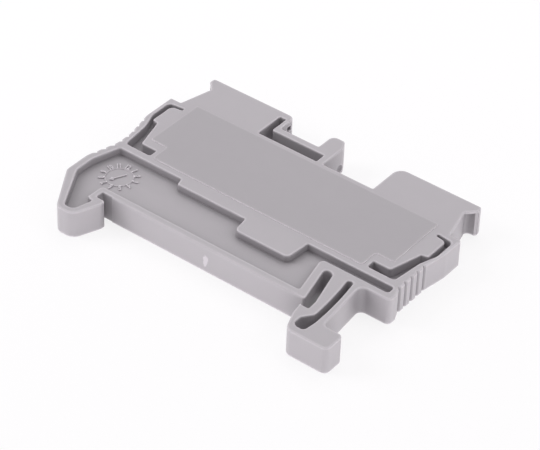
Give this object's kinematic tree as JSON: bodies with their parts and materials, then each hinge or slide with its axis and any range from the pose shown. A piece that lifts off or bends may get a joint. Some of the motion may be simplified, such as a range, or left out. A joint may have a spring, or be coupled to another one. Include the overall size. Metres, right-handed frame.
{
  "type": "feed-through terminal block",
  "caption": "Slim grey rail-mounted feed-through terminal block with spring-cage clamps, round wire entries, a rail hook and a sprung rail foot.",
  "frame": {"origin": "under the middle of the block's bounding box, on the plane of the open side", "axes": "+X along the block from the hook to the spring foot, +Y from the rail to the tower tops, +Z through the thickness to the closed side"},
  "size_m": [0.0486, 0.0354, 0.0042],
  "materials": {
    "housing_plastic": "fine moulded matt",
    "bar_tin": "matt tin plating over copper",
    "spring_steel": "rolled stainless strip"
  },
  "bodies": {
    "root": {"housing": "housing_plastic", "current_bar": "bar_tin", "left_clamp_spring": "spring_steel", "right_clamp_spring": "spring_steel"}
  },
  "joints": []
}
